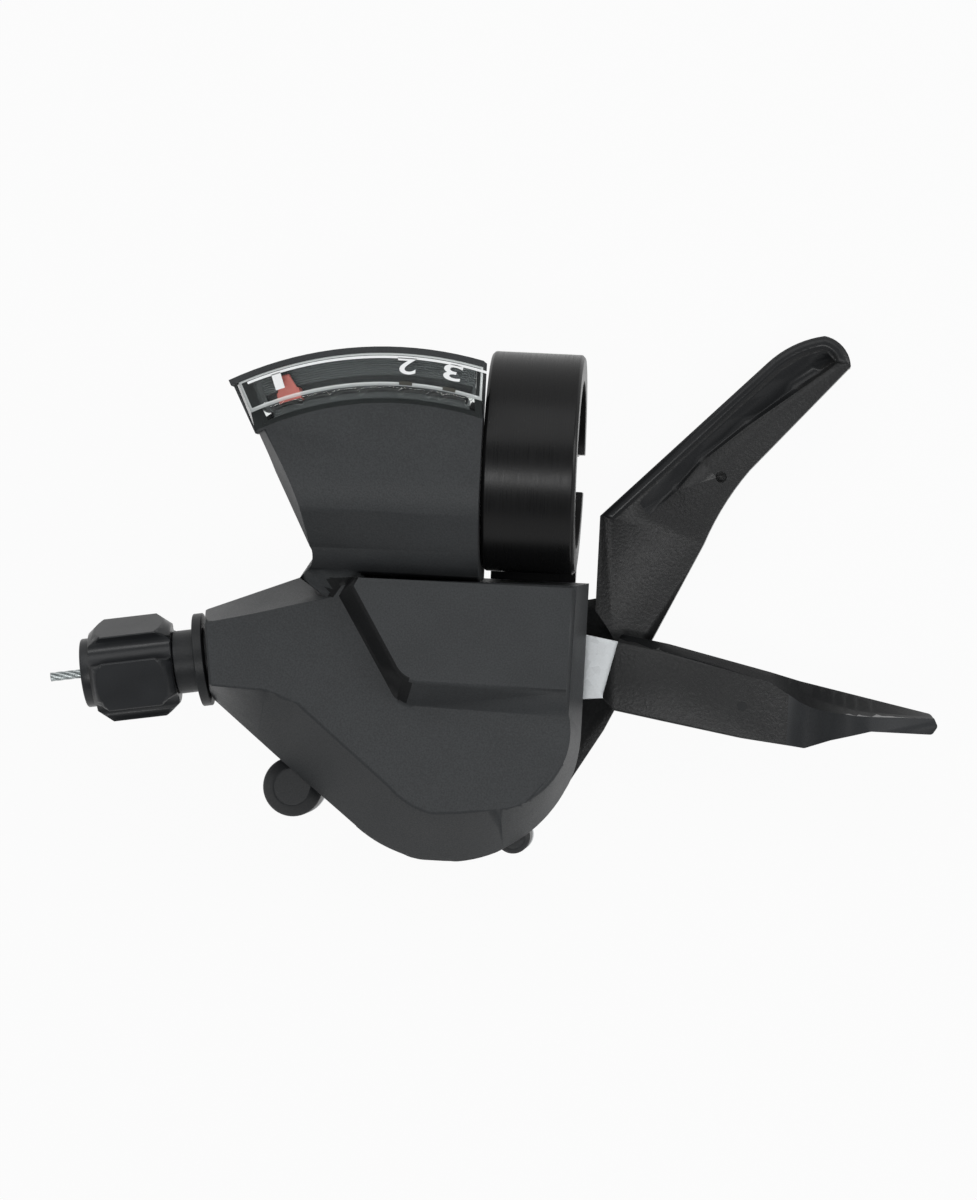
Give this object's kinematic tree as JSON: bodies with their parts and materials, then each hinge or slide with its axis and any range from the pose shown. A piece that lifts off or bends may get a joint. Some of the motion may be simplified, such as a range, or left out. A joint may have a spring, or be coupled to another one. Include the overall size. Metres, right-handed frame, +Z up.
{
  "type": "trigger gear shifter",
  "caption": "Flat-bar trigger gear shifter with a split bar clamp, display fan with a needle over the bar, thumb lever, finger release trigger and barrel cable adjuster.",
  "frame": {"origin": "centre of the bar clamp's bore", "axes": "+X outboard along the bar, +Y towards the rider, +Z up out of the display"},
  "size_m": [0.1183, 0.0728, 0.0416],
  "materials": {
    "black_band": "satin black anodised, bare at the edges",
    "black_bolt": "black oxide",
    "zinc_steel": "zinc plated",
    "spring_steel": "drawn wire",
    "cable_wire": "stranded wire",
    "cover_plastic": "fine sand texture",
    "case_plastic": "fine sand texture",
    "lever_plastic": "coarse grain",
    "knob_plastic": "satin",
    "white_plastic": "natural acetal",
    "clear_lens": "clear moulded plastic",
    "display_dark": "dark grey print ground",
    "needle_red": "salmon red"
  },
  "bodies": {
    "case": {"clamp_band": "black_band", "clamp_bolt": "black_bolt", "clamp_screws": "zinc_steel", "upper_cover": "cover_plastic", "lower_cover": "case_plastic", "base_plate": "zinc_steel", "cover_screws": "zinc_steel", "display_lens": "clear_lens", "display_bed": "display_dark", "needle_pin": "zinc_steel", "main_axle": "zinc_steel", "axle_washer": "zinc_steel", "axle_nut": "zinc_steel", "winder_spring": "spring_steel", "inner_cable": "cable_wire", "trigger_pin": "zinc_steel", "trigger_spring": "spring_steel", "holding_pawl_pin": "zinc_steel", "holding_pawl_spring": "spring_steel", "adjuster_boss": "case_plastic", "adjuster_spring": "spring_steel"},
    "thumb_lever": {"thumb_lever": "lever_plastic", "lever_bush": "zinc_steel", "lever_plate": "zinc_steel", "thumb_lever_spring": "spring_steel", "feed_pawl_pin": "zinc_steel", "feed_pawl_spring": "spring_steel"},
    "feed_pawl": {"feed_pawl": "zinc_steel"},
    "trigger": {"trigger_arm": "zinc_steel", "trigger_cap": "lever_plastic"},
    "holding_pawl": {"holding_pawl": "zinc_steel"},
    "winder": {"cable_winder": "white_plastic", "ratchet_plate": "zinc_steel"},
    "needle": {"gear_needle": "needle_red"},
    "barrel": {"adjuster_barrel": "zinc_steel"},
    "knob": {"adjuster_knob": "knob_plastic"}
  },
  "joints": [
    {"name": "thumb_lever_push", "type": "hinge", "parent": "case", "child": "thumb_lever", "pos_m": [-0.0103, -0.0354, -0.0164], "axis": [0, 0, 1], "range_deg": [-38, 0], "stiffness_Nm_per_rad": 0.25, "springref_deg": 20.05},
    {"name": "feed_pawl_pivot", "type": "hinge", "parent": "thumb_lever", "child": "feed_pawl", "pos_m": [-0.02299, -0.04132, -0.0082], "axis": [0, 0, 1], "range_deg": [0, 12], "stiffness_Nm_per_rad": 0.002, "springref_deg": -5.73},
    {"name": "trigger_pull", "type": "hinge", "parent": "case", "child": "trigger", "pos_m": [0.0022, -0.025, -0.01], "axis": [0, 0, 1], "range_deg": [0, 12], "stiffness_Nm_per_rad": 0.15, "springref_deg": -20.05},
    {"name": "holding_pawl_pivot", "type": "hinge", "parent": "case", "child": "holding_pawl", "pos_m": [-0.0063, -0.0204, -0.0082], "axis": [0, 0, 1], "range_deg": [-11, 0]},
    {"name": "winder_turn", "type": "hinge", "parent": "case", "child": "winder", "pos_m": [-0.0103, -0.0354, -0.0055], "axis": [0, 0, 1], "range_deg": [-60, 0], "deforming": ["inner_cable"]},
    {"name": "needle_swing", "type": "hinge", "parent": "case", "child": "needle", "pos_m": [-0.0171, -0.0337, 0.0021], "axis": [0, 0, 1], "range_deg": [-27.9, 0]},
    {"name": "barrel_slide", "type": "slide", "parent": "case", "child": "barrel", "axis": [-0.9863, -0.165, 0], "range_m": [0, 0.0024]},
    {"name": "knob_turn", "type": "hinge", "parent": "barrel", "child": "knob", "pos_m": [-0.04678, -0.02883, -0.0055], "axis": [-0.9863, -0.165, 0], "range_deg": [0, 1081]}
  ],
  "couplings": [
    {"joint": "holding_pawl_pivot", "follows": "trigger_pull", "ratio": -0.908},
    {"joint": "needle_swing", "follows": "winder_turn", "ratio": 0.465},
    {"joint": "knob_turn", "follows": "barrel_slide", "rad_per_m": 7854}
  ]
}
